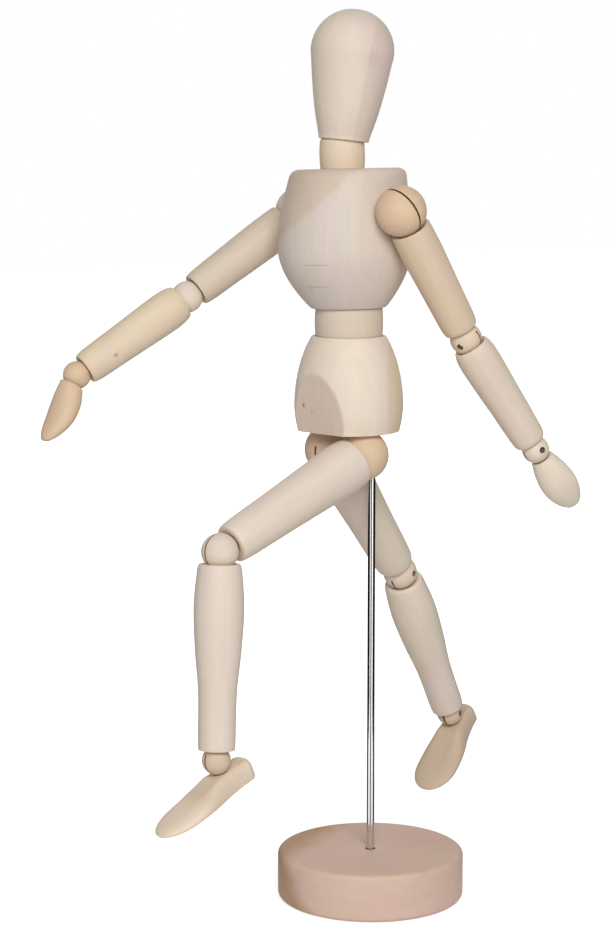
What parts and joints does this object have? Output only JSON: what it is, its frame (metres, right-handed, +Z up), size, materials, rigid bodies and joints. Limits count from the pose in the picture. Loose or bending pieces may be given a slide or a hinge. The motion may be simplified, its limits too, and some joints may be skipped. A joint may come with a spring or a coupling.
{
  "type": "jointed artist mannequin",
  "caption": "Turned wooden artist's figure with ball-jointed limbs, standing on a steel rod in a round wooden base, posed in mid-stride.",
  "frame": {"origin": "centre of the base's underside, on the rod's axis", "axes": "+Z up along the rod; the figure faces -Y; its left side is +X"},
  "size_m": [0.0992, 0.1788, 0.3048],
  "materials": {
    "wood": "pale unfinished wood, sanded smooth",
    "tan_wood": "warmer unfinished wood, sanded smooth",
    "steel": "bright drawn wire and rod"
  },
  "bodies": {
    "stand": {"base": "wood", "support_rod": "steel"},
    "pelvis": {"pelvis": "wood", "hip_yoke": "steel"},
    "waist": {"waist_barrel": "wood", "waist_spring": "steel"},
    "chest": {"chest": "wood", "chest_pin": "steel", "shoulder_spring": "steel"},
    "neck": {"neck_barrel": "wood", "neck_spring": "steel"},
    "head": {"head": "wood"},
    "left_shoulder": {"left_shoulder_ball": "tan_wood", "left_shoulder_pin": "steel"},
    "left_upper_arm": {"left_upper_arm": "wood", "left_upper_arm_spring": "steel"},
    "left_elbow": {"left_elbow_ball": "wood", "left_elbow_pin": "steel"},
    "left_forearm": {"left_forearm": "wood", "left_forearm_spring": "steel"},
    "left_wrist": {"left_wrist_ball": "tan_wood", "left_wrist_pin": "steel"},
    "left_hand": {"left_hand": "tan_wood", "left_hand_eye": "steel"},
    "right_shoulder": {"right_shoulder_ball": "tan_wood", "right_shoulder_pin": "steel"},
    "right_upper_arm": {"right_upper_arm": "wood", "right_upper_arm_spring": "steel"},
    "right_elbow": {"right_elbow_ball": "wood", "right_elbow_pin": "steel"},
    "right_forearm": {"right_forearm": "wood", "right_forearm_spring": "steel"},
    "right_wrist": {"right_wrist_ball": "tan_wood", "right_wrist_pin": "steel"},
    "right_hand": {"right_hand": "tan_wood", "right_hand_eye": "steel"},
    "left_hip": {"left_hip_ball": "tan_wood", "left_hip_pin": "steel"},
    "left_thigh": {"left_thigh": "wood", "left_thigh_spring": "steel"},
    "left_knee": {"left_knee_ball": "wood", "left_knee_pin": "steel"},
    "left_shin": {"left_shin": "wood", "left_shin_spring": "steel"},
    "left_ankle": {"left_ankle_ball": "wood", "left_ankle_pin": "steel"},
    "left_foot": {"left_foot": "tan_wood", "left_foot_eye": "steel"},
    "right_hip": {"right_hip_ball": "tan_wood", "right_hip_pin": "steel"},
    "right_thigh": {"right_thigh": "wood", "right_thigh_spring": "steel"},
    "right_knee": {"right_knee_ball": "wood", "right_knee_pin": "steel"},
    "right_shin": {"right_shin": "wood", "right_shin_spring": "steel"},
    "right_ankle": {"right_ankle_ball": "wood", "right_ankle_pin": "steel"},
    "right_foot": {"right_foot": "tan_wood", "right_foot_eye": "steel"}
  },
  "joints": [
    {"name": "figure_turn", "type": "hinge", "parent": "stand", "child": "pelvis", "pos_m": [0, 0, 0.1645], "axis": [0, 0, 1], "continuous": true},
    {"name": "waist_turn", "type": "hinge", "parent": "pelvis", "child": "waist", "pos_m": [0, -0.01, 0.20135], "axis": [0, 0, 1], "range_deg": [-60, 60], "deforming": ["waist_spring"]},
    {"name": "waist_bend", "type": "hinge", "parent": "waist", "child": "chest", "pos_m": [0, -0.01, 0.20135], "axis": [0, -1, 0], "range_deg": [-25, 25]},
    {"name": "neck_turn", "type": "hinge", "parent": "chest", "child": "neck", "pos_m": [-0.00195, -0.0115, 0.25707], "axis": [-0.0349, 0, 0.9994], "range_deg": [-70, 70], "deforming": ["neck_spring"]},
    {"name": "neck_nod", "type": "hinge", "parent": "neck", "child": "head", "pos_m": [-0.00195, -0.0115, 0.25707], "axis": [0.8085, -0.5878, 0.0282], "range_deg": [-35, 45]},
    {"name": "left_shoulder_turn", "type": "hinge", "parent": "chest", "child": "left_shoulder", "pos_m": [0.0266, -0.0091, 0.23915], "axis": [-0.9994, 0, -0.0349], "range_deg": [-120, 20]},
    {"name": "left_shoulder_swing", "type": "hinge", "parent": "left_shoulder", "child": "left_upper_arm", "pos_m": [0.0266, -0.0091, 0.23915], "axis": [-0.0179, 0.859, 0.5117], "range_deg": [-110, 0]},
    {"name": "left_elbow_turn", "type": "hinge", "parent": "left_upper_arm", "child": "left_elbow", "pos_m": [0.02958, 0.01649, 0.1963], "axis": [-0.0596, -0.5118, 0.857], "range_deg": [-90, 90]},
    {"name": "left_elbow_swing", "type": "hinge", "parent": "left_elbow", "child": "left_forearm", "pos_m": [0.02958, 0.01649, 0.1963], "axis": [-0.3856, 0.8037, 0.4532], "range_deg": [-50, 60]},
    {"name": "left_wrist_turn", "type": "hinge", "parent": "left_forearm", "child": "left_wrist", "pos_m": [0.03681, 0.04163, 0.15786], "axis": [-0.1555, -0.5407, 0.8267], "range_deg": [-90, 90]},
    {"name": "left_wrist_swing", "type": "hinge", "parent": "left_wrist", "child": "left_hand", "pos_m": [0.03681, 0.04163, 0.15786], "axis": [-0.9804, 0.1868, -0.0623], "range_deg": [-50, 70]},
    {"name": "right_shoulder_turn", "type": "hinge", "parent": "chest", "child": "right_shoulder", "pos_m": [-0.02917, -0.0091, 0.2372], "axis": [0.9994, 0, 0.0349], "range_deg": [-100, 100]},
    {"name": "right_shoulder_swing", "type": "hinge", "parent": "right_shoulder", "child": "right_upper_arm", "pos_m": [-0.02917, -0.0091, 0.2372], "axis": [0.0287, 0.5693, -0.8216], "range_deg": [-12, 100]},
    {"name": "right_elbow_turn", "type": "hinge", "parent": "right_upper_arm", "child": "right_elbow", "pos_m": [-0.03902, -0.04923, 0.20905], "axis": [0.1969, 0.8027, 0.563], "range_deg": [-90, 90]},
    {"name": "right_elbow_swing", "type": "hinge", "parent": "right_elbow", "child": "right_forearm", "pos_m": [-0.03902, -0.04923, 0.20905], "axis": [0.904, -0.371, 0.2127], "range_deg": [-50, 60]},
    {"name": "right_wrist_turn", "type": "hinge", "parent": "right_forearm", "child": "right_wrist", "pos_m": [-0.04872, -0.08722, 0.18405], "axis": [0.2087, 0.8169, 0.5376], "range_deg": [-90, 90]},
    {"name": "right_wrist_swing", "type": "hinge", "parent": "right_wrist", "child": "right_hand", "pos_m": [-0.04872, -0.08722, 0.18405], "axis": [0.8114, -0.4515, 0.3711], "range_deg": [-80, 35]},
    {"name": "left_hip_turn", "type": "hinge", "parent": "pelvis", "child": "left_hip", "pos_m": [0.0092, -0.011, 0.1572], "axis": [0, 0, 1], "range_deg": [-20, 35]},
    {"name": "left_hip_swing", "type": "hinge", "parent": "left_hip", "child": "left_thigh", "pos_m": [0.0092, -0.011, 0.1572], "axis": [0.9984, 0.0558, 0], "range_deg": [-10, 27]},
    {"name": "left_knee_turn", "type": "hinge", "parent": "left_thigh", "child": "left_knee", "pos_m": [0.01259, -0.07161, 0.13131], "axis": [-0.0513, 0.9184, 0.3923], "range_deg": [-30, 30]},
    {"name": "left_knee_swing", "type": "hinge", "parent": "left_knee", "child": "left_shin", "pos_m": [0.01259, -0.07161, 0.13131], "axis": [0.9975, 0.0284, 0.0642], "range_deg": [-75, 4]},
    {"name": "left_ankle_turn", "type": "hinge", "parent": "left_shin", "child": "left_ankle", "pos_m": [0.01705, -0.07649, 0.06413], "axis": [-0.0661, 0.0723, 0.9952], "range_deg": [-40, 40]},
    {"name": "left_ankle_swing", "type": "hinge", "parent": "left_ankle", "child": "left_foot", "pos_m": [0.01705, -0.07649, 0.06413], "axis": [0.9975, 0.0284, 0.0642], "range_deg": [-60, 30]},
    {"name": "right_hip_turn", "type": "hinge", "parent": "pelvis", "child": "right_hip", "pos_m": [-0.0092, -0.011, 0.1572], "axis": [0, 0, 1], "range_deg": [-9, 35]},
    {"name": "right_hip_swing", "type": "hinge", "parent": "right_hip", "child": "right_thigh", "pos_m": [-0.0092, -0.011, 0.1572], "axis": [0.9527, 0.304, 0], "range_deg": [-5, 32]},
    {"name": "right_knee_turn", "type": "hinge", "parent": "right_thigh", "child": "right_knee", "pos_m": [-0.02247, 0.03058, 0.10769], "axis": [0.2011, -0.63, 0.7501], "range_deg": [-30, 30]},
    {"name": "right_knee_swing", "type": "hinge", "parent": "right_knee", "child": "right_shin", "pos_m": [-0.02247, 0.03058, 0.10769], "axis": [0.949, 0.3152, 0.0104], "range_deg": [-50, 75]},
    {"name": "right_ankle_turn", "type": "hinge", "parent": "right_shin", "child": "right_ankle", "pos_m": [-0.03247, 0.0626, 0.04912], "axis": [0.1481, -0.4744, 0.8677], "range_deg": [-40, 40]},
    {"name": "right_ankle_swing", "type": "hinge", "parent": "right_ankle", "child": "right_foot", "pos_m": [-0.03247, 0.0626, 0.04912], "axis": [0.9331, 0.3578, 0.0364], "range_deg": [-60, 45]}
  ]
}
